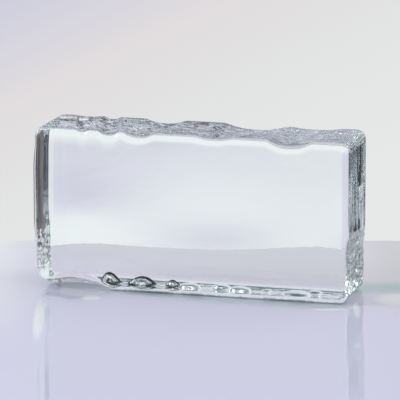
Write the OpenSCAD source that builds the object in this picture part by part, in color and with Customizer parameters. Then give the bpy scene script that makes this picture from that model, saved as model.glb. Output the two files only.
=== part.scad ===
// Solid cast glass block, standing on its long narrow side.
// Origin: middle of the underside. X along the length, Y through the thickness, Z up.
// The front face looks along -Y. The mould leaves soft edges; the poured top keeps
// shallow flow troughs, and air caught under the block leaves one scallop at the
// front edge of the underside and a row of pits near its back edge.

/* [Block] */
// Length of the block, end to end
block_length = 200; // [160:1:300]
// Thickness of the block, front face to back face
block_thickness = 50; // [40:1:80]
// Height of the block, underside to the crests of the top
block_height = 100; // [60:1:200]

/* [Edges] */
// Radius of the edges that run around the faces
edge_radius = 4.6; // [2:0.1:6]
// Corner radius of the front outline at the top left
top_left_corner = 7; // [6:0.5:16]
// Corner radius of the front outline at the bottom left
bottom_left_corner = 15; // [6:0.5:16]
// Corner radius of the front outline at the right end
right_corner = 6.5; // [6:0.5:16]

/* [Flow troughs in the top] */
// Distance from the left end to the first narrow trough, at the front face
trough_1_front = 49; // [40:1:56]
// Distance from the left end to the first narrow trough, at the back face
trough_1_back = 38; // [36:1:56]
// Depth of the first narrow trough at the front face
trough_1_depth = 2.3; // [1:0.1:4]
// Distance from the left end to the second narrow trough, at the front face
trough_2_front = 67; // [62:1:76]
// Distance from the left end to the second narrow trough, at the back face
trough_2_back = 73; // [62:1:80]
// Depth of the second narrow trough at the front face
trough_2_depth = 2.5; // [1:0.1:4]
// Width of the narrow troughs where they are deepest
narrow_width = 16; // [10:1:20]
// Distance from the right end to the first broad trough, at the front face
trough_3_front = 86; // [80:1:94]
// Distance from the right end to the first broad trough, at the back face
trough_3_back = 68; // [66:1:90]
// Depth of the first broad trough at the back face
trough_3_depth = 3.6; // [2:0.1:5]
// Distance from the right end to the second broad trough, at the front face
trough_4_front = 38; // [32:1:44]
// Distance from the right end to the second broad trough, at the back face
trough_4_back = 32; // [32:1:44]
// Depth of the second broad trough at the front face
trough_4_depth = 3.8; // [2:0.1:5]
// Width of the broad troughs where they are deepest
broad_width = 36; // [24:1:40]

/* [Underside] */
// Distance from the left end to the middle of the scallop in the front edge
scallop_from_left = 27; // [25:1:60]
// Width of the scallop at the front face
scallop_width = 46; // [20:1:50]
// Height of the scallop at the front face
scallop_height = 5.6; // [2:0.1:8]
// How far the scallop reaches in under the block
scallop_reach = 16; // [10:1:20]
// Distance from the left end to the middle of the first pit
pit_from_left = 44; // [30:1:60]
// Distance from the middle of one pit to the middle of the next
pit_pitch = 20; // [17.5:0.5:24]
// Distance from the back face to the middle of the pits
pit_from_back = 14; // [14:0.5:18]
// Width of the first pit
pit_1_width = 14; // [12:0.5:16]
// Depth of the first pit
pit_1_depth = 6; // [1:0.2:6]
// Width of the second pit
pit_2_width = 18; // [10:0.5:18]
// Depth of the second pit
pit_2_depth = 4.8; // [1:0.2:5]
// Width of the third pit
pit_3_width = 10; // [8:0.5:16]
// Depth of the third pit
pit_3_depth = 3.6; // [1:0.2:4]

/* [Hidden] */
left_end = -block_length / 2;
right_end = block_length / 2;
front_face = -block_thickness / 2;
back_face = block_thickness / 2;
// How much shallower a trough is at its shallow end.
shallow_share_1 = 0.57;
shallow_share_2 = 0.96;
shallow_share_3 = 0.33;
shallow_share_4 = 0.37;
// Cutters reach this far past the surface that they start from.
overcut = 8;
glass_colour = [0.84, 0.92, 0.91, 0.55];

// Radius of the circle whose arc is `width` across and `rise` high.
function arc_radius(width, rise) = (width * width / 4 + rise * rise) / (2 * rise);

// Everything outside a rounded corner of radius r, the corner being at the origin
// and the material in the first quadrant.
module corner_waste(r) {
    difference() {
        translate([-overcut, -overcut]) square(overcut + r);
        translate([r, r]) circle(r, $fn = 64);
    }
}

// Rectangle from the origin to [w, h] with its own radius at each corner, counted
// anticlockwise from the origin's: true arcs and straight sides.
module rounded_outline(w, h, radii) {
    difference() {
        square([w, h]);
        corner_waste(radii[0]);
        translate([w, 0]) mirror([1, 0]) corner_waste(radii[1]);
        translate([w, h]) rotate(180) corner_waste(radii[2]);
        translate([0, h]) mirror([0, 1]) corner_waste(radii[3]);
    }
}

// The block as the mould gives it: its front, top and end outlines, each extruded
// through the others.
module moulded_body() {
    e = edge_radius;
    intersection() {
        translate([left_end, back_face, 0])
            rotate([90, 0, 0])
                linear_extrude(block_thickness)
                    rounded_outline(block_length, block_height,
                        [bottom_left_corner, right_corner, right_corner, top_left_corner]);
        translate([left_end, front_face, 0])
            linear_extrude(block_height)
                rounded_outline(block_length, block_thickness, [e, e, e, e]);
        translate([left_end, front_face, 0])
            rotate([90, 0, 90])
                linear_extrude(block_length)
                    rounded_outline(block_thickness, block_height, [e, e, e, e]);
    }
}

// Round bar through two points, running on past both: its slanted ends have to
// stay clear of the block.
module bar(from, to, radius) {
    run = to - from;
    reach = norm(run);
    past = overcut + radius / 2;
    translate(from)
        rotate([0, acos(run[2] / reach), atan2(run[1], run[0])])
            translate([0, 0, -past])
                cylinder(h = reach + 2 * past, r = radius, $fn = 128);
}

// Bar that leaves a trough in the top: its place along X and its depth at the
// front face and at the back face, and its width where it is deepest.
module trough_bar(front_x, back_x, front_depth, back_depth, width) {
    r = arc_radius(width, max(front_depth, back_depth));
    bar([front_x, front_face, block_height + r - front_depth],
        [back_x, back_face, block_height + r - back_depth], r);
}

module flow_troughs() {
    trough_bar(left_end + trough_1_front, left_end + trough_1_back,
        trough_1_depth, trough_1_depth * shallow_share_1, narrow_width);
    trough_bar(left_end + trough_2_front, left_end + trough_2_back,
        trough_2_depth, trough_2_depth * shallow_share_2, narrow_width);
    trough_bar(right_end - trough_3_front, right_end - trough_3_back,
        trough_3_depth * shallow_share_3, trough_3_depth, broad_width);
    trough_bar(right_end - trough_4_front, right_end - trough_4_back,
        trough_4_depth, trough_4_depth * shallow_share_4, broad_width);
}

// Bar that leaves the scallop: full height at the front face, nothing at its reach.
module scallop_bar() {
    x = left_end + scallop_from_left;
    r = arc_radius(scallop_width, scallop_height);
    bar([x, front_face, scallop_height - r], [x, front_face + scallop_reach, -r], r);
}

// Ball that leaves a pit in the underside.
module pit_ball(x, width, depth) {
    r = arc_radius(width, depth);
    translate([x, back_face - pit_from_back, depth - r]) sphere(r, $fn = 96);
}

module pits() {
    first = left_end + pit_from_left;
    pit_ball(first, pit_1_width, pit_1_depth);
    pit_ball(first + pit_pitch, pit_2_width, pit_2_depth);
    pit_ball(first + 2 * pit_pitch, pit_3_width, pit_3_depth);
}

// The scallop is cut first, because its bar runs on under the pits.
module glass_block() {
    color(glass_colour)
        difference() {
            difference() {
                moulded_body();
                scallop_bar();
            }
            flow_troughs();
            pits();
        }
}

glass_block();
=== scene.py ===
"""Solid cast glass block: fine relief, clear glass, a pale glossy table and soft light.

Lengths are in metres, in the part's own frame: X along the block, Y through it from
the front face to the back face, Z up, with the origin in the middle of the underside.
"""
from __future__ import annotations

import logging
from collections.abc import Sequence
from dataclasses import dataclass
from enum import Enum
from math import cos, pi, radians, sin

import bpy
import numpy as np
from mathutils import Matrix, Vector


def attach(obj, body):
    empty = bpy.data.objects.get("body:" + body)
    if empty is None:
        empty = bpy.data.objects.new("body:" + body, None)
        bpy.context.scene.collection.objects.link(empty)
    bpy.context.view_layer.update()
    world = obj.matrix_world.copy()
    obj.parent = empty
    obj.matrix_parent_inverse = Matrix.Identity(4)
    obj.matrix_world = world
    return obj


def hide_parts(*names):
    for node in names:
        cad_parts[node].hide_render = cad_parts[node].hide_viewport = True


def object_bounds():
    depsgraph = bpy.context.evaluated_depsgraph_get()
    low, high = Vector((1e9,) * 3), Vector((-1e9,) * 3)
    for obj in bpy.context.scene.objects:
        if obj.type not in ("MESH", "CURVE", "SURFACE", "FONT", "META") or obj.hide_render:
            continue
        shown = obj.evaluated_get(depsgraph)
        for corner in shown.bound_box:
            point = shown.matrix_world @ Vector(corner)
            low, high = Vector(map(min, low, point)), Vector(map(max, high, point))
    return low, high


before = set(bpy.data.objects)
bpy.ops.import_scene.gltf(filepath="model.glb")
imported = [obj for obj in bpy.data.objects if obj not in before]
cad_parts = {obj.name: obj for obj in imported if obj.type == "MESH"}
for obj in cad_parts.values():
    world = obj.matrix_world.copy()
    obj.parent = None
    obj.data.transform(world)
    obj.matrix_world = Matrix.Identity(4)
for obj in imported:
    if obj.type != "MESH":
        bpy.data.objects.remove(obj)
CAD_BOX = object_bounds()

LOG = logging.getLogger("glass_block")
MM = 0.001
TINY = 1e-12
WHITE = (1.0, 1.0, 1.0)
ALONG_X, ALONG_Y, ALONG_Z = (Vector(row) for row in np.eye(3))
Number = int | float
Colour = tuple[float, float, float]
Stops = Sequence[tuple[float, Colour]]


# ---------------------------------------------------------------- shader expressions


class Wire:
    """A node's output in an expression: arithmetic on it adds Math nodes."""

    def __init__(self, sheet: NodeSheet, socket: bpy.types.NodeSocket) -> None:
        """Wrap an output.

        Args:
            sheet: the node sheet that the output is on.
            socket: the output itself.
        """
        self.sheet = sheet
        self.socket = socket

    def _math(self, operation: str, *terms: Wire | Number) -> Wire:
        """Add one Math node over the terms, in their order."""
        node = self.sheet.add("ShaderNodeMath", {"operation": operation}, dict(enumerate(terms)))
        return self.sheet.out(node)

    def __add__(self, other: Wire | Number) -> Wire:
        """Sum of two values."""
        return self._math("ADD", self, other)

    def __radd__(self, other: Number) -> Wire:
        """Sum with a number on the left."""
        return self._math("ADD", other, self)

    def __sub__(self, other: Wire | Number) -> Wire:
        """Difference of two values."""
        return self._math("SUBTRACT", self, other)

    def __rsub__(self, other: Number) -> Wire:
        """Difference with a number on the left."""
        return self._math("SUBTRACT", other, self)

    def __mul__(self, other: Wire | Number) -> Wire:
        """Product of two values."""
        return self._math("MULTIPLY", self, other)

    def __rmul__(self, other: Number) -> Wire:
        """Product with a number on the left."""
        return self._math("MULTIPLY", other, self)

    def __truediv__(self, other: Wire | Number) -> Wire:
        """Quotient of two values."""
        return self._math("DIVIDE", self, other)

    def size(self) -> Wire:
        """The value without its sign."""
        return self._math("ABSOLUTE", self)

    def angle_with(self, across: Wire) -> Wire:
        """Angle, in radians, whose sine side is this value and cosine side is `across`."""
        return self._math("ARCTAN2", self, across)

    def step(self, low: float, high: float) -> Wire:
        """Smooth step: 0 below `low`, 1 above `high`, with no corner between."""
        node = self.sheet.add(
            "ShaderNodeMapRange",
            {"interpolation_type": "SMOOTHSTEP"},
            {"Value": self, "From Min": low, "From Max": high, "To Min": 0.0, "To Max": 1.0},
        )
        return self.sheet.out(node)


class NodeSheet:
    """A node tree that is built from empty."""

    def __init__(self, tree: bpy.types.NodeTree) -> None:
        """Take over a tree and empty it.

        Args:
            tree: the tree of a material or of the world.
        """
        self.tree = tree
        tree.nodes.clear()

    def add(
        self,
        kind: str,
        settings: dict[str, object] | None = None,
        sockets: dict[str | int, object] | None = None,
    ) -> bpy.types.Node:
        """Add a node.

        Args:
            kind: the node's type name.
            settings: properties that are set first; "stops" is a ramp's list of
                (place, colour) pairs.
            sockets: the value, or the Wire, of each input, by name or number.

        Returns:
            The new node.
        """
        node = self.tree.nodes.new(kind)
        for name, value in (settings or {}).items():
            if name == "stops":
                self._set_stops(node.color_ramp, value)
            else:
                setattr(node, name, value)
        for key, value in (sockets or {}).items():
            if isinstance(value, Wire):
                self.tree.links.new(value.socket, node.inputs[key])
            elif value is not None:
                node.inputs[key].default_value = value
        return node

    @staticmethod
    def _set_stops(ramp: bpy.types.ColorRamp, stops: Stops) -> None:
        """Give a colour ramp its stops.

        Args:
            ramp: the ramp.
            stops: its (place, colour) pairs, in rising order.
        """
        while len(ramp.elements) > 1:
            ramp.elements.remove(ramp.elements[-1])
        ramp.elements[0].position = stops[0][0]
        ramp.elements[0].color = (*stops[0][1], 1.0)
        for place, colour in stops[1:]:
            ramp.elements.new(place).color = (*colour, 1.0)

    def out(self, node: bpy.types.Node, key: str | int = 0) -> Wire:
        """One output of a node as a Wire."""
        return Wire(self, node.outputs[key])

    def along(self, place: Wire, axis: Vector) -> Wire:
        """How far a point or a direction goes along an axis."""
        sockets = {0: place, 1: tuple(axis)}
        return self.out(self.add("ShaderNodeVectorMath", {"operation": "DOT_PRODUCT"}, sockets), "Value")

    def ramp(self, place: Wire, stops: Stops) -> Wire:
        """Colours at places from 0 to 1, with even changes between."""
        return self.out(self.add("ShaderNodeValToRGB", {"stops": stops}, {"Fac": place}))

    def noise(self, place: Wire, scale: float, detail: float) -> Wire:
        """Noise from 0 to 1, with so many lumps a metre and so many finer layers."""
        sockets = {"Vector": place, "Scale": scale, "Detail": detail}
        return self.out(self.add("ShaderNodeTexNoise", {}, sockets), "Fac")

    def mark(self, mark: Mark) -> Wire:
        """What the mesh says of each point."""
        return self.out(self.add("ShaderNodeAttribute", {"attribute_name": mark.value}), "Fac")

    def blend(self, operation: str, first: Wire, second: Wire) -> Wire:
        """One colour times or plus another, as the operation says."""
        return self.out(self.add("ShaderNodeVectorMath", {"operation": operation}, {0: first, 1: second}))

    def mix(self, share: Wire, first: Wire | Colour, second: Wire | Colour) -> Wire:
        """Mix two colours.

        Args:
            share: the second one's share.
            first: the colour at share 0.
            second: the colour at share 1.

        Returns:
            The mixed colour.
        """
        ends = [c if isinstance(c, Wire) else (*c, 1.0) for c in (first, second)]
        sockets = {"Factor": share, 6: ends[0], 7: ends[1]}
        return self.out(self.add("ShaderNodeMix", {"data_type": "RGBA"}, sockets), 2)


# ------------------------------------------------------------------------- relief


class SmoothNoise:
    """Seeded noise over a plane.

    Each crossing of a unit square lattice holds a slope in a random direction. The
    value at a point is the four slopes' heights there, blended along each side by the
    fade curve 6t^5 - 15t^4 + 10t^3. It lies between about -0.7 and 0.7.
    """

    SIDE = 64

    def __init__(self, seed: int) -> None:
        """Draw the lattice's slopes.

        Args:
            seed: the number that the draw starts from.
        """
        turn = np.random.default_rng(seed).uniform(0.0, 2.0 * pi, (self.SIDE, self.SIDE))
        self.slope_u = np.cos(turn)
        self.slope_v = np.sin(turn)

    def __call__(self, u: np.ndarray, v: np.ndarray) -> np.ndarray:
        """Noise at whole arrays of points.

        Args:
            u: first coordinates, in lattice units.
            v: second coordinates.

        Returns:
            The noise, one value a point.
        """
        cell_u, cell_v = np.floor(u).astype(int), np.floor(v).astype(int)
        part_u, part_v = u - cell_u, v - cell_v
        fade_u = part_u**3 * (part_u * (6.0 * part_u - 15.0) + 10.0)
        fade_v = part_v**3 * (part_v * (6.0 * part_v - 15.0) + 10.0)

        def corner(du: int, dv: int) -> np.ndarray:
            """Height that one lattice corner's slope has at the points."""
            a, b = (cell_u + du) % self.SIDE, (cell_v + dv) % self.SIDE
            return self.slope_u[a, b] * (part_u - du) + self.slope_v[a, b] * (part_v - dv)

        near = corner(0, 0) * (1.0 - fade_u) + corner(1, 0) * fade_u
        far = corner(0, 1) * (1.0 - fade_u) + corner(1, 1) * fade_u
        return near * (1.0 - fade_v) + far * fade_v

    def sized(self, x: np.ndarray, y: np.ndarray, long: float, wide: float) -> np.ndarray:
        """Noise whose lumps are so many millimetres long along x, and wide along y."""
        return self(x / (long * MM), y / (wide * MM))


def smooth_step(low: float, high: float, value: np.ndarray) -> np.ndarray:
    """3t^2 - 2t^3 of how far the value has come from low to high, held to 0..1."""
    t = np.clip((value - low) / (high - low), 0.0, 1.0)
    return t * t * (3.0 - 2.0 * t)


def between(first: Number, second: Number, share: np.ndarray) -> np.ndarray:
    """First value at share 0, second at share 1, and evenly between."""
    return first + (second - first) * share


class Mark(Enum):
    """What the block's mesh says of each point, from 0 to 1, for its finish to read."""

    CHILLED = "chilled"
    RESIDUE = "residue"


@dataclass(frozen=True)
class Trough:
    """A flow trough across the top, from the front face to the back face."""

    front_x: float
    back_x: float
    front_depth: float
    back_depth: float
    front_width: float
    back_width: float


@dataclass(frozen=True)
class Pit:
    """A dish that trapped air left in the underside, deeper towards one side."""

    x: float
    y: float
    width: float
    depth: float
    skew: float = 0.0


@dataclass(frozen=True)
class Swell:
    """A slow lean of the back face near the foot of the block."""

    x: float
    lean: float
    reach: float


@dataclass
class BlockForm:
    """The block's surface, worked out on a lattice wrapped round a box.

    The front corners, the scallop and the pits have the CAD part's own sizes. The
    relief of the poured top, the ends and the faces is finer than the CAD part's.
    """

    low: np.ndarray
    high: np.ndarray
    seed: int = 7

    # Outline.
    edge_radius: float = 4.6 * MM
    bottom_left_corner: float = 15.0 * MM
    bottom_left_back_corner: float = 7.0 * MM
    top_left_corner: float = 7.0 * MM
    top_left_back_corner: float = 9.0 * MM
    right_corner: float = 6.5 * MM

    # Lattice. Level planes lie close together up to graded_height and over cap_height.
    length_cells: int = 282
    thickness_cells: int = 70
    low_height_cells: int = 44
    middle_height_cells: int = 9
    high_height_cells: int = 16
    graded_height: float = 46.0 * MM
    cap_height: float = 76.0 * MM
    rounding_cells: int = 5

    # Underside.
    scallop_from_left: float = 27.0 * MM
    scallop_width: float = 46.0 * MM
    scallop_height: float = 5.6 * MM
    scallop_reach: float = 16.0 * MM
    pit_from_left: float = 44.0 * MM
    pit_pitch: float = 20.0 * MM
    pit_from_back: float = 14.0 * MM
    pit_widths: tuple[float, ...] = (14.0 * MM, 18.0 * MM, 10.0 * MM)
    pit_depths: tuple[float, ...] = (6.0 * MM, 4.8 * MM, 3.6 * MM)
    pit_skews: tuple[float, ...] = (0.35, -0.10, 0.25)
    pit_reach_front: float = 1.3
    pit_reach_back: float = 0.72
    bed_depth: float = 0.22 * MM

    # Poured top. The levels are how many laps a unit of noise is cut into.
    lap_length: float = 24.0 * MM
    lap_width: float = 15.0 * MM
    lap_levels: float = 3.2
    small_lap_levels: float = 2.4
    small_lap_scale: float = 1.9
    lap_pull: float = 1.3
    lap_rise: float = 0.84
    swell_depth: float = 0.5 * MM

    # Ends.
    left_chill: float = 0.8 * MM
    right_chill: float = 1.3 * MM
    lumps_fade_from: float = 30.0 * MM
    lumps_fade_to: float = 42.0 * MM
    rib_depth: float = 0.13 * MM
    cap_rise: float = 14.0 * MM
    cap_slope: float = 0.22
    low_cap: float = 8.3 * MM
    high_cap_front: float = 13.0 * MM
    high_cap_back: float = 6.0 * MM

    # Faces.
    face_depth: float = 0.10 * MM
    lean_middle: float = 28.0 * MM
    lean_reach: float = 20.0 * MM
    shoulder_fall: float = 0.7 * MM
    shoulder_height: float = 10.0 * MM

    def troughs(self) -> list[Trough]:
        """The flow troughs, placed from the block's ends, from left to right."""
        left, right = self.low[0], self.high[0]
        return [
            Trough(left + 32 * MM, left + 22 * MM, 1.4 * MM, 0.5 * MM, 8 * MM, 20 * MM),
            Trough(left + 49 * MM, left + 38 * MM, 2.3 * MM, 1.3 * MM, 15 * MM, 11 * MM),
            Trough(left + 67 * MM, left + 73 * MM, 2.5 * MM, 2.4 * MM, 22 * MM, 28 * MM),
            Trough(right - 86 * MM, right - 68 * MM, 1.2 * MM, 3.6 * MM, 24 * MM, 46 * MM),
            Trough(right - 38 * MM, right - 32 * MM, 3.8 * MM, 1.4 * MM, 31 * MM, 38 * MM),
        ]

    def pits(self) -> list[Pit]:
        """The row of pits near the back edge of the underside.

        Returns:
            The pits, from left to right.
        """
        y = self.high[1] - self.pit_from_back
        first = self.low[0] + self.pit_from_left
        sizes = zip(self.pit_widths, self.pit_depths, self.pit_skews)
        return [Pit(first + i * self.pit_pitch, y, *size) for i, size in enumerate(sizes)]

    def dimples(self) -> list[Pit]:
        """Shallow dimples with a clear rim, along the underside to the right of the pits."""
        return [
            Pit(-5 * MM, 8 * MM, 15 * MM, 2.6 * MM),
            Pit(14 * MM, 14 * MM, 13 * MM, 2.2 * MM),
            Pit(27 * MM, 8 * MM, 15 * MM, 2.4 * MM),
            Pit(43 * MM, 13 * MM, 7 * MM, 1.0 * MM),
            Pit(63 * MM, 6 * MM, 19 * MM, 2.2 * MM),
            Pit(73 * MM, 17 * MM, 10 * MM, 1.4 * MM),
        ]

    def swells(self) -> list[Swell]:
        """Leans of the back face, each so much out for one up, from left to right."""
        return [
            Swell(-78 * MM, -0.060, 28 * MM),
            Swell(14 * MM, 0.042, 40 * MM),
            Swell(68 * MM, -0.005, 17 * MM),
            Swell(100 * MM, 0.055, 14 * MM),
        ]

    def _stations(self, middle: np.ndarray) -> np.ndarray:
        """Lattice planes along one axis, even in angle in the roundings.

        Args:
            middle: the planes from one rounding's end to the other's.

        Returns:
            All the planes, in rising order.
        """
        angles = np.linspace(0.0, pi / 4.0, self.rounding_cells + 1)[1:]
        tangent = self.edge_radius * np.tan(angles)
        return np.concatenate([middle[0] - tangent[::-1], middle, middle[-1] + tangent])

    def _evenly(self, axis: int, cells: int) -> np.ndarray:
        """Even planes between the two roundings of one axis, with their ends."""
        near, far = self.low[axis] + self.edge_radius, self.high[axis] - self.edge_radius
        return np.linspace(near, far, cells - 2 * self.rounding_cells + 1)

    def _graded(self) -> np.ndarray:
        """Level planes between the roundings: close together low down and near the top.

        Returns:
            The planes' heights, in rising order.
        """
        near, far = self.low[2] + self.edge_radius, self.high[2] - self.edge_radius
        lower = np.linspace(near, self.low[2] + self.graded_height, self.low_height_cells)
        cap_from = self.low[2] + self.cap_height
        middle = np.linspace(lower[-1], cap_from, self.middle_height_cells + 1)
        upper = np.linspace(middle[-1], far, self.high_height_cells + 1)
        return np.concatenate([lower, middle[1:], upper[1:]])

    def _lattice(self) -> tuple[np.ndarray, np.ndarray]:
        """Points and four-sided cells of the square-cornered block's whole surface.

        The points are those of a three-way lattice that lie on its outside, so the six
        sides share theirs and the surface is closed.

        Returns:
            The points, one a row, and the cells as rows of four point numbers.
        """
        xs = self._stations(self._evenly(0, self.length_cells))
        ys = self._stations(self._evenly(1, self.thickness_cells))
        zs = self._stations(self._graded())
        shape = (len(xs), len(ys), len(zs))
        outside = np.ones(shape, bool)
        outside[1:-1, 1:-1, 1:-1] = False
        number = np.full(shape, -1)
        number[outside] = np.arange(outside.sum())
        points = np.stack(np.meshgrid(xs, ys, zs, indexing="ij"), -1)[outside]

        def cells(side: np.ndarray) -> np.ndarray:
            """Cells of one side, turning from its first axis towards its second."""
            corners = (side[:-1, :-1], side[1:, :-1], side[1:, 1:], side[:-1, 1:])
            return np.stack(corners, -1).reshape(-1, 4)

        quads = [
            cells(number[:, :, -1]),
            cells(number[:, :, 0])[:, ::-1],
            cells(number[:, 0, :]),
            cells(number[:, -1, :])[:, ::-1],
            cells(number[-1, :, :]),
            cells(number[0, :, :])[:, ::-1],
        ]
        return points, np.concatenate(quads)

    def _rounded(self, points: np.ndarray) -> tuple[np.ndarray, np.ndarray]:
        """Carry the square-cornered block's surface onto the rounded one.

        A rounded block is every point within the edge radius of a thinner core, whose
        front outline has round corners of its own. Each point goes to the nearest
        place in the core, then out from it by the edge radius.

        Args:
            points: points of the square-cornered surface.

        Returns:
            The rounded points, and the surface's outward normals there.
        """
        radius = self.edge_radius
        centre = (self.low + self.high) / 2.0
        is_left, is_low = points[:, 0] < centre[0], points[:, 2] < centre[2]
        through = self._through(points[:, 1])
        bottom = between(self.bottom_left_corner, self.bottom_left_back_corner, through)
        top = between(self.top_left_corner, self.top_left_back_corner, through)
        corner = np.where(is_left, np.where(is_low, bottom, top), self.right_corner)
        flat = points[:, [0, 2]]
        low, high = self.low[[0, 2]], self.high[[0, 2]]
        heart = np.clip(flat, low + corner[:, None], high - corner[:, None])
        out = flat - heart
        reach = np.linalg.norm(out, axis=1)
        share = np.minimum(1.0, (corner - radius) / np.maximum(reach, TINY))
        core = np.empty_like(points)
        core[:, [0, 2]] = heart + out * share[:, None]
        core[:, 1] = np.clip(points[:, 1], self.low[1] + radius, self.high[1] - radius)
        normal = points - core
        normal /= np.linalg.norm(normal, axis=1)[:, None]
        return core + radius * normal, normal

    def _through(self, y: np.ndarray) -> np.ndarray:
        """How far back a point is: 0 at the front face, 1 at the back face."""
        return (y - self.low[1]) / (self.high[1] - self.low[1])

    def _leftward(self, x: np.ndarray) -> np.ndarray:
        """How far to the left a point is: 0 at the right end, 1 at the left end."""
        return (self.high[0] - x) / (self.high[0] - self.low[0])

    def _trough_depth(self, x: np.ndarray, y: np.ndarray) -> np.ndarray:
        """Depth of the troughs: each is its depth times (1 - |u|^3)^2 across its width.

        Args:
            x, y: places along the block and through it.

        Returns:
            The depth at each place.
        """
        through = self._through(y)
        total = np.zeros_like(x)
        for trough in self.troughs():
            middle = between(trough.front_x, trough.back_x, through)
            depth = between(trough.front_depth, trough.back_depth, through)
            width = between(trough.front_width, trough.back_width, through)
            u = np.abs(x - middle) / (width / 2.0)
            total += depth * np.clip(1.0 - u**3, 0.0, None) ** 2
        return total

    def _scallop_lift(self, x: np.ndarray, y: np.ndarray) -> np.ndarray:
        """Height of the scallop: an arch across X, level in the rounding, then sinking.

        It is the scallop's height times 1 - u^2 - v, where u goes across it and v
        inwards from the end of the front edge's rounding.

        Args:
            x, y: places along the block and through it.

        Returns:
            The height at each place, 0 outside the scallop.
        """
        u = (x - self.low[0] - self.scallop_from_left) / (self.scallop_width / 2.0)
        inner = y - self.low[1] - self.edge_radius
        inward = np.clip(inner / (self.scallop_reach - self.edge_radius), 0.0, None)
        sinking = self.scallop_height * (1.0 - u * u - inward)
        return np.where(sinking > 0.0, sinking, 0.0)

    def _within(self, pit: Pit, x: np.ndarray, y: np.ndarray) -> tuple[np.ndarray, np.ndarray]:
        """Places in a pit, whose reach is longer to the front than to the back.

        Args:
            pit: the pit.
            x, y: places along the block and through it.

        Returns:
            The places counted in reaches from the pit's middle, along X and along Y.
        """
        half = pit.width / 2.0
        reach = half * np.where(y < pit.y, self.pit_reach_front, self.pit_reach_back)
        return (x - pit.x) / half, (y - pit.y) / reach

    def _pit_lift(self, x: np.ndarray, y: np.ndarray) -> np.ndarray:
        """Height of the pits, depth times (1 - r^2), and of the dimples, (1 - r^4).

        A pit's depth leans with its skew: it is times 1 - skew u, where u goes across.

        Args:
            x, y: places along the block and through it.

        Returns:
            The height at each place.
        """
        total = np.zeros_like(x)
        for pit in self.pits():
            across, along = self._within(pit, x, y)
            dish = np.clip(1.0 - across**2 - along**2, 0.0, None)
            total += pit.depth * dish * (1.0 - pit.skew * across)
        for ring in self.dimples():
            off = ((x - ring.x) ** 2 + (y - ring.y) ** 2) / (ring.width / 2.0) ** 2
            total += ring.depth * np.clip(1.0 - off**2, 0.0, None)
        return total

    def _lap_levels(self, x: np.ndarray, y: np.ndarray) -> tuple[np.ndarray, np.ndarray]:
        """Large and small laps of the poured top: how far into its level each point is.

        A noise, pulled about by a slower one, is cut into levels. Each runs from 0 to 1.

        Args:
            x, y: places along the block and through it.

        Returns:
            The share of its level that each place has passed, for large laps and small.
        """
        pull, laps, small = (SmoothNoise(self.seed + i) for i in range(3))
        u, v = x / self.lap_length, y / self.lap_width
        pull_u = self.lap_pull * pull(u * 0.8, v * 0.8)
        pull_v = self.lap_pull * pull(u * 0.8 + 9.3, v * 0.8 + 4.1)
        large = self.lap_levels * laps(u + pull_u, v + pull_v)
        small_u, small_v = self.small_lap_scale * u, self.small_lap_scale * v
        fine = self.small_lap_levels * small(small_u + 2.0 * pull_u, small_v + 2.0 * pull_v)
        return large - np.floor(large), fine - np.floor(fine)

    def _painted_crease_shade(self, x: np.ndarray, y: np.ndarray) -> np.ndarray:
        """Share of painted shade in the creases between laps, more at the left.

        Besides the creases it follows drawn strands and finer hairs, where a noise
        passes through zero.

        Args:
            x, y: places along the block and through it.

        Returns:
            The share at each place, from 0 to 1.
        """
        large, _ = self._lap_levels(x, y)
        thread, bend = SmoothNoise(self.seed + 70), SmoothNoise(self.seed + 71)
        sag = 0.5 * bend.sized(x, y, 17.0, 17.0)
        strands = np.abs(thread(x / (26.0 * MM) + sag, y / (8.0 * MM) + 2.2 * sag))
        hairs = np.abs(bend(x / (12.0 * MM) + 5.0 + 2.0 * sag, y / (5.0 * MM) + 2.0 * sag))
        crease = smooth_step(0.74, 0.80, large) * (1.0 - smooth_step(0.92, 1.0, large))
        drawn = 1.0 - smooth_step(0.04, 0.07, strands)
        fine = 1.0 - smooth_step(0.03, 0.06, hairs)
        most = 0.14 + 0.62 * self._leftward(x)
        # Painted shade in the creases, strands and hairs.
        return most * np.maximum(0.25 * crease, np.maximum(drawn, 0.7 * fine))

    def _poured_folds(self, x: np.ndarray, y: np.ndarray) -> np.ndarray:
        """Folds of the poured top, always downwards.

        The glass lay down in laps. Within a level the surface rises evenly, and at the
        next it drops back over a short way, which leaves long winding creases with
        smooth backs between. Smaller laps ride on the large ones. Both are deeper at
        the left, and shallow near the front edge.

        Args:
            x, y: places along the block and through it.

        Returns:
            The depth at each place.
        """

        def saw(part: np.ndarray) -> np.ndarray:
            """Even rise from 0 to 1, then a smooth drop over the last part."""
            rising = part < self.lap_rise
            drop = 1.0 - smooth_step(self.lap_rise, 1.0, part)
            return part / self.lap_rise * rising + drop * ~rising

        large, fine = (saw(part) for part in self._lap_levels(x, y))
        broad = 0.5 + SmoothNoise(self.seed + 3).sized(x, y, 24.0, 20.0)
        leftward = self._leftward(x)
        inner = between(0.12, 1.0, smooth_step(0.02, 0.28, self._through(y)))
        large_depth = (0.55 + 1.05 * leftward) * MM
        fine_depth = (0.05 + 0.65 * leftward**2) * MM
        return inner * (large_depth * large + fine_depth * fine + self.swell_depth * broad)

    def _chill(self, across: np.ndarray, z: np.ndarray, seed: int, depth: float) -> np.ndarray:
        """Wrinkles of an end where the first glass chilled, always inwards.

        Lumps fade out with height. Through them and above them run upright ribs.

        Args:
            across: places across the end.
            z: places up it.
            seed: the number that the lumps' draw starts from; the ribs' is the next.
            depth: how deep the lumps are on average.

        Returns:
            The depth at each place.
        """
        fade = 1.0 - smooth_step(self.lumps_fade_from, self.lumps_fade_to, z)
        lumps, ribs = SmoothNoise(seed), SmoothNoise(seed + 1)
        waves = 0.9 * lumps.sized(across, z, 9.0, 4.6) + 0.5 * lumps.sized(across, z, 4.0, 2.3)
        lines = ribs.sized(across, z, 7.0, 45.0) + 0.4 * ribs.sized(across, z, 2.9, 30.0)
        return fade * depth * (1.05 + waves) + self.rib_depth * (1.0 + lines)

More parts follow.
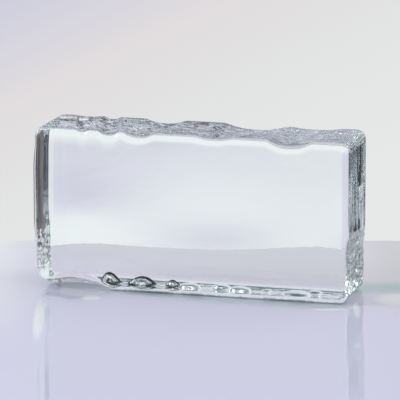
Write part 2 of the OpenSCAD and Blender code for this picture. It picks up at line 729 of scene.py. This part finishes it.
    def _end_caps(self, y: np.ndarray, z: np.ndarray) -> np.ndarray:
        """How far the left end falls away past the caps of its flat part.

        The flat part is a strip as wide as the end's own flat, closed above and below
        by half ellipses. Outside them the end slopes off evenly, for a short way.

        Args:
            y, z: places through the block and up it.

        Returns:
            The fall at each place.
        """
        flat_half = (self.high[1] - self.low[1]) / 2.0 - self.edge_radius
        rise = self.cap_rise
        high_tip = self.high[2] - between(self.high_cap_front, self.high_cap_back, self._through(y))
        low_tip = self.low[2] + self.low_cap
        past = np.maximum(z - (high_tip - rise), (low_tip + rise) - z)
        v = np.clip(past / rise, 0.0, None)
        u = y / flat_half
        beyond = np.clip(np.hypot(u, v) - 1.0, 0.0, None) - np.clip(np.abs(u) - 1.0, 0.0, None)
        return self.cap_slope * rise * np.clip(beyond, 0.0, 0.45)

    def _bed_relief(self, x: np.ndarray, y: np.ndarray) -> np.ndarray:
        """Shallow relief of the underside where it lay on the cold mould."""
        noise = SmoothNoise(self.seed + 30)
        waves = noise.sized(x, y, 11.0, 6.0) + 0.5 * noise.sized(x, y, 4.3, 3.0)
        return self.bed_depth * (1.0 + waves)

    def _face_wave(self, x: np.ndarray, z: np.ndarray, seed: int) -> np.ndarray:
        """Slow undulation of a large face, inwards."""
        noise = SmoothNoise(seed)
        return self.face_depth * (1.0 + noise(x / (52.0 * MM) + 0.3, z / (38.0 * MM) + 0.6))

    def _foot_lean(self, x: np.ndarray, z: np.ndarray) -> np.ndarray:
        """How far the back face stands out near the foot.

        It is the lean there times the height from the lean's middle, fading away from
        that middle as exp(-t^2).

        Args:
            x, z: places along the block and up it.

        Returns:
            The distance outwards at each place.
        """
        height = z - self.lean_middle
        lean = sum(s.lean * np.exp(-(((x - s.x) / s.reach) ** 2)) for s in self.swells())
        return lean * height * np.exp(-((height / self.lean_reach) ** 2))

    def _soft_shoulder(self, x: np.ndarray, z: np.ndarray) -> np.ndarray:
        """How far the front face falls away below its top rounding, towards the left.

        Args:
            x, z: places along the block and up it.

        Returns:
            The fall at each place, which grows as the square of the rise.
        """
        left = self.low[0]
        leftward = 1.0 - smooth_step(left + 30.0 * MM, left + 75.0 * MM, x)
        start = self.high[2] - self.shoulder_height
        up = np.clip((z - start) / self.shoulder_height, 0.0, 1.0)
        return self.shoulder_fall * leftward * up * up

    def _end_marks_and_shade(self, y: np.ndarray, z: np.ndarray, nx: np.ndarray) -> np.ndarray:
        """Share of dark marks on the ends: drawn lines low down, and painted shade as a haze at the right
        end's top.

        Args:
            y, z: places through the block and up it.
            nx: the outward normal's part along the block.

        Returns:
            The share at each place, from 0 to 1.
        """
        lines = SmoothNoise(self.seed + 80).sized(y, z, 10.0, 3.8)
        drawn = 1.0 - smooth_step(0.05, 0.15, np.abs(lines))
        fade = 1.0 - smooth_step(22.0 * MM, 34.0 * MM, z)
        low = smooth_step(5.0 * MM, 10.0 * MM, z) * fade
        # Painted shade: a haze over the right end's top.
        haze = smooth_step(70.0 * MM, 86.0 * MM, z) * smooth_step(0.5, 0.9, nx)
        return smooth_step(0.8, 0.97, np.abs(nx)) * (0.55 * drawn * low + 0.16 * haze)

    def _painted_bed_shade(self, x: np.ndarray, y: np.ndarray) -> np.ndarray:
        """Share of painted shade on the underside, in flecks.

        It lies round each pit's brim and in a seam over its crown, over the scallop's
        roof, and in a broken line along the foot of the front face, as painted shade
        in the pits, under the scallop and along the contact line.

        Args:
            x, y: places along the block and through it.

        Returns:
            The share at each place, from 0 to 1.
        """
        broken = SmoothNoise(self.seed + 60)
        fleck = broken.sized(x, y, 2.6, 2.6) + 0.6 * broken.sized(x, y, 1.3, 1.3)
        total = np.zeros_like(x)
        # Painted shade round each pit's brim and over its crown.
        for pit in self.pits():
            across, along = self._within(pit, x, y)
            away = np.hypot(across, along)
            inside = 1.0 - smooth_step(0.98, 1.06, away)
            brim = smooth_step(0.85, 0.91, away + 0.05 * fleck)
            crown = 1.0 - smooth_step(0.36, 0.42, np.abs(along) + 0.08 * fleck)
            total = np.maximum(total, inside * np.maximum(brim, crown))
        # Painted shade over the scallop's roof and along the front foot's contact line.
        roof = smooth_step(0.0, 1.2 * MM, self._scallop_lift(x, y)) * (0.16 + 0.40 * fleck)
        front = 1.0 - smooth_step(2.0 * MM, 8.0 * MM, y - self.low[1] + 2.5 * MM * fleck)
        line = front * smooth_step(-0.35, 0.25, broken.sized(x, y, 13.0, 9.0) + 0.5 * fleck)
        return np.clip(np.maximum(total, np.maximum(roof, 0.65 * line)), 0.0, 1.0)

    def _residue(self, points: np.ndarray, normal: np.ndarray) -> np.ndarray:
        """Share of the dark coat: painted shade on the underside and the top, and dark marks and painted
        shade on the ends.

        Args:
            points: the rounded surface's points.
            normal: its outward normals there.

        Returns:
            The share at each point, from 0 to 1.
        """
        x, y, z = points.T
        nx, _, nz = normal.T
        # Painted shade along the top's creases, strands and hairs.
        crease_shade = smooth_step(0.93, 0.995, nz) * self._painted_crease_shade(x, y)
        # Painted shade round the pits, under the scallop and along the front foot.
        bed = smooth_step(0.55, 0.85, -nz) * self._painted_bed_shade(x, y)
        return np.maximum(np.maximum(crease_shade, self._end_marks_and_shade(y, z, nx)), bed)

    def surface(self) -> tuple[np.ndarray, np.ndarray, dict[Mark, np.ndarray]]:
        """The whole finished surface.

        Each relief moves the rounded block's points along X, Y or Z, as far as the
        surface there faces that way. Nothing goes below the underside's own level.

        Returns:
            The points, one a row, the cells as rows of four point numbers, and each
            mark's value at every point.
        """
        square, quads = self._lattice()
        points, normal = self._rounded(square)
        x, y, z = points.T.copy()
        nx, ny, nz = normal.T
        top, base = self.high[2], self.low[2]

        on_top = smooth_step(0.86, 0.995, nz)
        near_top = smooth_step(top - 26.0 * MM, top - self.edge_radius, z)
        near_base = 1.0 - smooth_step(base + self.edge_radius, base + 22.0 * MM, z)
        under = smooth_step(0.9, 0.999, -nz)
        end = nx * nx
        face = ny * ny

        shift = np.zeros_like(points)
        shift[:, 2] -= near_top * self._trough_depth(x, y)
        shift[:, 2] -= on_top * self._poured_folds(x, y)
        shift[:, 2] += near_base * self._scallop_lift(x, y)
        shift[:, 2] += under * (self._pit_lift(x, y) + self._bed_relief(x, y))
        left_in = self._chill(y, z, self.seed + 20, self.left_chill) + self._end_caps(y, z)
        right_in = self._chill(y, z, self.seed + 23, self.right_chill)
        shift[:, 0] -= np.sign(nx) * end * np.where(nx < 0.0, left_in, right_in)
        front_in = self._face_wave(x, z, self.seed + 40) + self._soft_shoulder(x, z)
        back_in = self._face_wave(x, z, self.seed + 41) - self._foot_lean(x, z)
        shift[:, 1] -= np.sign(ny) * face * np.where(ny < 0.0, front_in, back_in)
        moved = points + shift
        moved[:, 2] = np.maximum(moved[:, 2], base)
        # Share of the underside's grey tint, which is painted shade.
        chilled = smooth_step(0.2, 0.8, -nz)
        return moved, quads, {Mark.CHILLED: chilled, Mark.RESIDUE: self._residue(points, normal)}

    def build(self, name: str) -> bpy.types.Object:
        """Make the block's object, smooth all over.

        Args:
            name: the piece's name.

        Returns:
            The object, at the origin.
        """
        points, quads, marks = self.surface()
        mesh = bpy.data.meshes.new(name)
        mesh.vertices.add(len(points))
        mesh.vertices.foreach_set("co", points.astype(np.float32).ravel())
        mesh.loops.add(quads.size)
        mesh.loops.foreach_set("vertex_index", quads.astype(np.int32).ravel())
        mesh.polygons.add(len(quads))
        mesh.polygons.foreach_set("loop_start", np.arange(0, quads.size, 4, dtype=np.int32))
        mesh.update(calc_edges=True)
        mesh.validate()
        mesh.shade_smooth()
        for mark, share in marks.items():
            values = mesh.attributes.new(mark.value, "FLOAT", "POINT").data
            values.foreach_set("value", share.astype(np.float32))
        piece = bpy.data.objects.new(name, mesh)
        bpy.context.scene.collection.objects.link(piece)
        return piece


# ----------------------------------------------------------------------- finishes


@dataclass(frozen=True)
class ClearGlass:
    """Clear cast glass with a faint teal body colour, and painted shade as a grey tint on its chilled
    underside.
    """

    tint: Colour = (0.990, 0.997, 0.996)
    # A faint grey-green tint on the chilled underside: painted shade under the block.
    underside_shade_tint: Colour = (0.94, 0.99, 0.95)
    # A dark coat: painted shade over the top's creases, the pits, the scallop, the front foot and the
    # right end's top, and dark marks low on the ends.
    marks_and_shade: Colour = (0.010, 0.016, 0.018)
    marks_and_shade_roughness: float = 0.7
    body: Colour = (0.62, 0.79, 0.80)
    body_density: float = 1.6
    index: float = 1.5
    dull: float = 0.012
    grain_scale: float = 160.0
    grain_strength: float = 0.05
    grain_height: float = 0.4 * MM

    def material(self) -> bpy.types.Material:
        """Make the glass.

        Returns:
            The material: clear glass with very fine bump and a body that takes up a
            little red, under a share of a dull dark coat that is painted shade and dark marks.
        """
        material = bpy.data.materials.new("cast_glass")
        material.use_nodes = True
        sheet = NodeSheet(material.node_tree)
        place = sheet.out(sheet.add("ShaderNodeTexCoord"), "Object")
        grain = sheet.noise(place, self.grain_scale, 3.0)
        bump = sheet.add(
            "ShaderNodeBump",
            {},
            {"Height": grain, "Strength": self.grain_strength, "Distance": self.grain_height},
        )
        glass = sheet.add(
            "ShaderNodeBsdfPrincipled",
            {},
            {
                "Base Color": sheet.mix(sheet.mark(Mark.CHILLED), self.tint, self.underside_shade_tint),
                "Roughness": grain.step(0.5, 0.75) * self.dull,
                "IOR": self.index,
                "Transmission Weight": 1.0,
                "Normal": sheet.out(bump, "Normal"),
            },
        )
        # The dark coat, mixed in by its share: mostly painted shade, partly dark marks.
        marks_and_shade = sheet.add(
            "ShaderNodeBsdfPrincipled",
            {},
            {"Base Color": (*self.marks_and_shade, 1.0), "Roughness": self.marks_and_shade_roughness, "IOR": self.index},
        )
        layers = {0: sheet.mark(Mark.RESIDUE), 1: sheet.out(glass), 2: sheet.out(marks_and_shade)}
        absorb = sheet.add(
            "ShaderNodeVolumeAbsorption",
            {},
            {"Color": (*self.body, 1.0), "Density": self.body_density},
        )
        sheet.add(
            "ShaderNodeOutputMaterial",
            {},
            {
                "Surface": sheet.out(sheet.add("ShaderNodeMixShader", {}, layers)),
                "Volume": sheet.out(absorb),
            },
        )
        return material


@dataclass(frozen=True)
class Pool:
    """A small pool of painted light on the table: its middle, its reach both ways, and its share.

    Lengths are in millimetres, to the right and forward from the block's middle.
    """

    right: float
    forward: float
    reach_right: float
    reach_forward: float
    share: float = 1.0


@dataclass(frozen=True)
class PolishedPale:
    """The table's pale polished surface.

    It is lavender in front and greyer behind. The paler left and the a little darker
    right are painted light, falling off away from the lamp at the left. The block's own
    soft shade and the light that it gathers are painted tints that the tone is multiplied by.
    """

    front: Colour = (0.74, 0.70, 0.87)
    rear: Colour = (0.715, 0.69, 0.71)
    # right, rear_right and left are painted light: paler towards the lamp at the left, darker away from
    # it.
    right: Colour = (0.68, 0.64, 0.81)
    rear_right: Colour = (0.64, 0.62, 0.61)
    left: Colour = (0.98, 1.0, 0.95)
    shaded: Colour = (0.60, 0.82, 0.72)
    lit: Colour = (1.32, 1.36, 1.14)
    # Painted light: pools where the block gathers light on the table.
    pools: tuple[Pool, ...] = (
        Pool(-66.0, -29.0, 7.0, 8.0, 1.2),
        Pool(79.0, -60.0, 13.0, 4.0),
        Pool(95.0, -62.0, 2.6, 24.0),
        Pool(119.0, -33.0, 14.0, 18.0),
        Pool(-96.0, -86.0, 4.0, 60.0, 0.9),
    )
    roughness: float = 0.05
    index: float = 1.5
    foot_share: float = 0.6

    def _shade(self, sheet: NodeSheet, place: Wire) -> Wire:
        """Where the block's soft shadow lies: along its front foot, and off its right end.

        The foot's shadow is wider towards the right and has a ragged edge. The end's
        is a soft band that drifts back as it goes.

        Args:
            sheet: the node sheet of the table's material.
            place: the point on the table.

        Returns:
            The shade's share there.
        """
        low, high = CAD_BOX
        x, y = sheet.along(place, ALONG_X), sheet.along(place, ALONG_Y)
        fleck = sheet.noise(place, 190.0, 4.0)
        past = x - high[0]
        beside = (x - low[0]).step(2.0 * MM, 60.0 * MM) * (1.0 - past.step(-4.0 * MM, 2.0 * MM))
        wide = x.step(-70.0 * MM, 40.0 * MM) * (12.0 * MM) + 4.0 * MM
        before = ((low[1] - y) + (fleck - 0.5) * (16.0 * MM)) / wide
        foot = beside * (1.0 - before.step(0.3, 1.3)) * before.step(-1.0, -0.4)
        drift = y - 24.0 * MM - past * 0.35
        cast = past.step(-14.0 * MM, -2.0 * MM) * (1.0 - drift.size().step(4.0 * MM, 22.0 * MM))
        return foot * self.foot_share + cast

    def _glow(self, aside: Wire, ahead: Wire) -> Wire:
        """Where the block gathers light on the table: a few small soft pools.

        Args:
            aside: how far to the right the point is.
            ahead: how far forward it is.

        Returns:
            The pools' share there.
        """
        total = None
        for pool in self.pools:
            across = (aside - pool.right * MM) / (pool.reach_right * MM)
            along = (ahead - pool.forward * MM) / (pool.reach_forward * MM)
            share = (1.0 - (across * across + along * along).step(0.1, 1.1)) * pool.share
            total = share if total is None else total + share
        return total

    def material(self, sideways: Vector, forward: Vector) -> bpy.types.Material:
        """Make the table's material.

        Args:
            sideways: the table's level direction to the right, along its back edge.
            forward: its level direction towards that edge.

        Returns:
            The material.
        """
        material = bpy.data.materials.new("pale_table")
        material.use_nodes = True
        sheet = NodeSheet(material.node_tree)
        place = sheet.out(sheet.add("ShaderNodeTexCoord"), "Object")
        aside = sheet.along(place, sideways)
        ahead = sheet.along(place, forward)
        behind = (ahead + aside * 0.6).step(-40.0 * MM, 120.0 * MM)
        # Painted light: the table turns paler towards the lamp at the left.
        leftward = (aside * -1.0).step(85.0 * MM, 150.0 * MM) * ahead.step(-180.0 * MM, 20.0 * MM)
        near = sheet.mix(aside.step(60.0 * MM, 150.0 * MM), self.front, self.right)
        far = sheet.mix(aside.step(100.0 * MM, 125.0 * MM), self.rear, self.rear_right)
        plain = sheet.mix(leftward, sheet.mix(behind, near, far), self.left)
        shade = sheet.mix(self._shade(sheet, place), WHITE, self.shaded)
        glow = sheet.mix(self._glow(aside, ahead), WHITE, self.lit)
        tone = sheet.blend("MULTIPLY", sheet.blend("MULTIPLY", plain, shade), glow)
        shader = sheet.add(
            "ShaderNodeBsdfPrincipled",
            {},
            {"Base Color": tone, "Roughness": self.roughness, "IOR": self.index},
        )
        sheet.add("ShaderNodeOutputMaterial", {}, {"Surface": sheet.out(shader)})
        return material


# -------------------------------------------------------------------------- studio


@dataclass(frozen=True)
class Viewpoint:
    """A long lens, far off, looking slightly down at the block's front and right end."""

    azimuth: float = radians(15.2)
    elevation: float = radians(12.1)
    distance: float = 3.0
    view_width: float = 245.6 * MM
    aim_right: float = 0.4 * MM
    aim_up: float = 4.6 * MM
    sensor_width: float = 36.0
    farthest: float = 50.0

    def forward(self) -> Vector:
        """Level direction in which the lens looks."""
        return Vector((-sin(self.azimuth), cos(self.azimuth), 0.0))

    def sideways(self) -> Vector:
        """Level direction to the lens's right."""
        return Vector((cos(self.azimuth), sin(self.azimuth), 0.0))

    def build(self, target: Vector) -> bpy.types.Object:
        """Place the camera.

        Args:
            target: the point near the middle of the view.

        Returns:
            The camera object, made the scene's camera.
        """
        back = ALONG_Z * sin(self.elevation) - self.forward() * cos(self.elevation)
        right = self.sideways()
        up = back.cross(right)
        aim = target + right * self.aim_right + up * self.aim_up
        data = bpy.data.cameras.new("camera")
        data.sensor_width = self.sensor_width
        data.lens = self.sensor_width * self.distance / self.view_width
        data.clip_end = self.farthest
        camera = bpy.data.objects.new("camera", data)
        turn = Matrix((right, up, back)).transposed().to_4x4()
        camera.matrix_world = Matrix.Translation(aim + back * self.distance) @ turn
        bpy.context.scene.collection.objects.link(camera)
        bpy.context.scene.camera = camera
        return camera


@dataclass(frozen=True)
class Table:
    """A level table top whose back edge is straight and runs close behind the block."""

    behind: float = 131.0 * MM
    front: float = 1.8
    left: float = 248.0 * MM
    right: float = 190.0 * MM
    gap: float = 0.15 * MM

    def build(self, sideways: Vector, forward: Vector) -> bpy.types.Object:
        """Make the table top just under the block.

        Args:
            sideways: level direction to the right, along the back edge.
            forward: level direction towards the back edge.

        Returns:
            The table's object.
        """
        corners = [
            forward * self.behind - sideways * self.left,
            -forward * self.front - sideways * self.left,
            -forward * self.front + sideways * self.right,
            forward * self.behind + sideways * self.right,
        ]
        mesh = bpy.data.meshes.new("table")
        mesh.from_pydata([(p.x, p.y, -self.gap) for p in corners], [], [(0, 1, 2, 3)])
        mesh.materials.append(PolishedPale().material(sideways, forward))
        table = bpy.data.objects.new("table", mesh)
        bpy.context.scene.collection.objects.link(table)
        return table


@dataclass(frozen=True)
class Lamp:
    """A round soft lamp: full inside one angle from its middle, nothing past another."""

    bearing: float
    height: float
    inner: float
    outer: float
    strength: float

    def way(self, sideways: Vector, forward: Vector) -> Vector:
        """Direction towards the lamp's middle."""
        level = forward * cos(self.bearing) + sideways * sin(self.bearing)
        return level * cos(self.height) + ALONG_Z * sin(self.height)


@dataclass(frozen=True)
class SoftStudio:
    """Soft light from all round.

    Behind the block a pale sweep brightens downwards. Elsewhere the room is pale above
    the table's level and dark below it. One soft lamp stands to the left, and a
    fainter one hangs overhead.

    Heights are sines of the angle up, and the sweep's stops go by them. The two rings'
    stops go by the bearing in degrees, to the right of forward. The plain backdrop's go
    by its rise: the height over the table's back edge, which counts for more at the left.
    """

    backdrop: Stops = (
        (0.0, (0.80, 0.81, 0.81)),
        (0.35, (0.765, 0.775, 0.775)),
        (0.62, (0.755, 0.725, 0.735)),
        (0.95, (0.605, 0.61, 0.73)),
    )
    sweep: Stops = (
        (-0.40, (0.90, 0.95, 0.96)),
        (-0.27, (0.92, 0.96, 0.97)),
        (-0.225, (0.86, 0.90, 0.91)),
        (-0.18, (0.74, 0.76, 0.79)),
        (0.0, (0.72, 0.73, 0.76)),
        (0.20, (0.90, 0.93, 0.92)),
        (0.42, (0.80, 0.84, 0.83)),
        (1.0, (0.66, 0.70, 0.69)),
    )
    dark_ring: Stops = (
        (-180, (0.015, 0.018, 0.018)),
        (-60, (0.03, 0.034, 0.034)),
        (28, (0.015, 0.03, 0.06)),
        (40, (0.20, 0.175, 0.165)),
        (75, (0.20, 0.175, 0.165)),
        (98, (0.03, 0.06, 0.10)),
        (130, (0.03, 0.06, 0.10)),
        (180, (0.015, 0.018, 0.018)),
    )
    room_ring: Stops = (
        (-180, (0.07, 0.17, 0.17)),
        (-125, (0.07, 0.17, 0.17)),
        (-95, (0.62, 0.64, 0.67)),
        (-20, (0.66, 0.67, 0.72)),
        (30, (0.86, 0.92, 0.95)),
        (120, (0.86, 0.92, 0.95)),
        (150, (0.46, 0.50, 0.52)),
        (180, (0.07, 0.17, 0.17)),
    )
    veil: Colour = (0.90, 0.85, 0.98)
    lamps: tuple[Lamp, ...] = (
        Lamp(radians(-90.0), radians(27.0), radians(12.0), radians(20.0), 5.0),
        Lamp(0.0, radians(90.0), radians(9.0), radians(19.0), 1.1),
    )
    edge_height: float = -0.218
    backdrop_height: float = 0.0385
    backdrop_reach: float = 1.9
    backdrop_tilt: float = 12.0

    @staticmethod
    def _ring(sheet: NodeSheet, bearing: Wire, stops: Stops) -> Wire:
        """Colours round a ring, by bearing."""
        placed = [(degrees / 360.0 + 0.5, colour) for degrees, colour in stops]
        return sheet.ramp(bearing / (2.0 * pi) + 0.5, placed)

    def _surround(self, sheet: NodeSheet, ahead: Wire, aside: Wire, height: Wire, rise: Wire) -> Wire:
        """Colours that glass and table see all round, apart from the lamps.

        The sweep shows ahead, and fades out at its sides and high up. Elsewhere the
        room's ring lies over the dark one, whose rim stands higher on the near side.

        Args:
            sheet: the world's node sheet.
            ahead: how far forward a direction goes.
            aside: how far to the right it goes.
            height: how far up it goes.
            rise: its height on the backdrop.

        Returns:
            The colour in each direction.
        """
        placed = [(sine * 0.5 + 0.5, colour) for sine, colour in self.sweep]
        sweep = sheet.ramp(height * 0.5 + 0.5, placed)
        veil = sheet.mix(rise.step(-0.2, 1.3), WHITE, self.veil)
        bearing = aside.angle_with(ahead)
        near_side = (ahead * -1.0).step(0.35, 0.75)
        is_room = (height - near_side * 0.42).step(-0.05, 0.04)
        dark = self._ring(sheet, bearing, self.dark_ring)
        room = self._ring(sheet, bearing, self.room_ring)
        past_left = bearing.step(radians(-52.0), radians(-34.0))
        past_right = bearing.step(radians(24.0), radians(30.0))
        in_sweep = past_left * (1.0 - past_right) * (1.0 - height.step(0.55, 0.75))
        return sheet.mix(in_sweep, sheet.mix(is_room, dark, room), sheet.blend("MULTIPLY", sweep, veil))

    def _lamplight(self, sheet: NodeSheet, toward: Wire, sideways: Vector, forward: Vector) -> Wire:
        """White light of all the lamps.

        Args:
            sheet: the world's node sheet.
            toward: the direction looked in.
            sideways: level direction to the right.
            forward: level direction that the lamps' bearings are counted from.

        Returns:
            The light in each direction.
        """
        total = None
        for lamp in self.lamps:
            near = sheet.along(toward, lamp.way(sideways, forward))
            light = near.step(cos(lamp.outer), cos(lamp.inner)) * lamp.strength
            total = light if total is None else total + light
        return sheet.out(sheet.add("ShaderNodeCombineXYZ", {}, dict.fromkeys(range(3), total)))

    def build(self, sideways: Vector, forward: Vector) -> None:
        """Make the world: what glass and table see all round, and the plain backdrop.

        Args:
            sideways: level direction to the right.
            forward: level direction that bearings are counted from.
        """
        world = bpy.data.worlds.new("studio")
        bpy.context.scene.world = world
        world.use_nodes = True
        sheet = NodeSheet(world.node_tree)
        toward = sheet.out(sheet.add("ShaderNodeTexCoord"), "Generated")
        ahead = sheet.along(toward, forward)
        aside = sheet.along(toward, sideways)
        height = sheet.along(toward, ALONG_Z)
        rise = (height - self.edge_height) / self.backdrop_height - aside * self.backdrop_tilt
        surround = self._surround(sheet, ahead, aside, height, rise)
        lit = sheet.blend("ADD", surround, self._lamplight(sheet, toward, sideways, forward))
        seen = sheet.out(sheet.add("ShaderNodeLightPath"), "Is Camera Ray")
        colour = sheet.mix(seen, lit, sheet.ramp(rise / self.backdrop_reach, self.backdrop))
        light = sheet.add("ShaderNodeBackground", {}, {"Color": colour, "Strength": 1.0})
        sheet.add("ShaderNodeOutputWorld", {}, {"Surface": sheet.out(light)})


def set_film() -> None:
    """Plain colour response, and enough bounces for light that runs along the glass."""
    scene = bpy.context.scene
    scene.view_settings.view_transform = "Standard"
    scene.view_settings.look = "None"
    scene.cycles.max_bounces = 32
    scene.cycles.transmission_bounces = 32
    scene.cycles.glossy_bounces = 24
    scene.cycles.diffuse_bounces = 3


def main() -> None:
    """Build the block, the table, the light and the camera."""
    logging.basicConfig(level=logging.INFO, format="%(name)s: %(message)s")
    low, high = (np.array(corner, float) for corner in CAD_BOX)
    view = Viewpoint()
    view.build(ALONG_Z * ((low[2] + high[2]) / 2.0))
    set_film()
    SoftStudio().build(view.sideways(), view.forward())
    Table().build(view.sideways(), view.forward())

    block = BlockForm(low, high).build("cast_block")
    block.data.materials.append(ClearGlass().material())
    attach(block, "root")
    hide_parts("glass_block")
    LOG.info("cast_block: %d cells", len(block.data.polygons))


if __name__ == "__main__":
    main()
